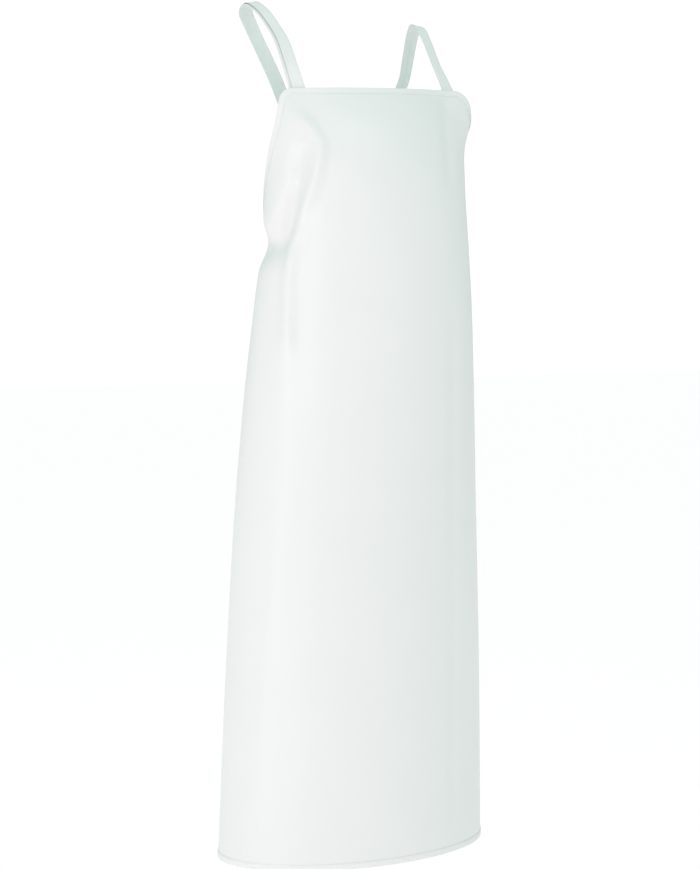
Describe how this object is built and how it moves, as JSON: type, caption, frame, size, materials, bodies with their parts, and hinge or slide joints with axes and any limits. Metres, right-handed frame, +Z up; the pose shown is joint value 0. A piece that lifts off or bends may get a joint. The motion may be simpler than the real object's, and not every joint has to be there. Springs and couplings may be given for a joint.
{
  "type": "butcher apron",
  "caption": "Long white coated-fabric bib apron as worn: bound edges, shoulder straps crossing at the back, press studs at the waist corners.",
  "frame": {"origin": "midway between the two places where the straps lie on the wearer's shoulders, at the level of the straps' undersides", "axes": "+Z up along the wearer; the wearer faces -Y; +X to the wearer's left"},
  "size_m": [0.4548, 0.268, 1.3237],
  "materials": {
    "coated_fabric": "smooth coated, satin",
    "binding_tape": "folded coated tape, satin, stitched",
    "strap_fabric": "folded coated fabric, satin, stitched",
    "nickel_steel": "nickel plated, satin"
  },
  "bodies": {
    "apron": {"apron_panel": "coated_fabric", "bib_top_binding": "binding_tape", "hem_binding": "binding_tape", "armhole_binding_right": "binding_tape", "side_binding_right": "binding_tape", "shoulder_strap_right": "strap_fabric", "bib_patch_right": "coated_fabric", "waist_patch_right": "coated_fabric", "stud_post_right": "nickel_steel", "stud_base_right": "nickel_steel", "armhole_binding_left": "binding_tape", "side_binding_left": "binding_tape", "shoulder_strap_left": "strap_fabric", "bib_patch_left": "coated_fabric", "waist_patch_left": "coated_fabric", "stud_post_left": "nickel_steel", "stud_base_left": "nickel_steel"},
    "press_right": {"stud_socket_right": "nickel_steel", "stud_cap_right": "nickel_steel"},
    "press_left": {"stud_socket_left": "nickel_steel", "stud_cap_left": "nickel_steel"}
  },
  "joints": [
    {"name": "press_release_right", "type": "slide", "parent": "apron", "child": "press_right", "axis": [-0.4291, 0.8967, 0.1085], "range_m": [0, 0.008], "deforming": ["shoulder_strap_left"]},
    {"name": "press_release_left", "type": "slide", "parent": "apron", "child": "press_left", "axis": [0.4273, 0.8977, 0.1078], "range_m": [0, 0.008], "deforming": ["shoulder_strap_right"]}
  ]
}
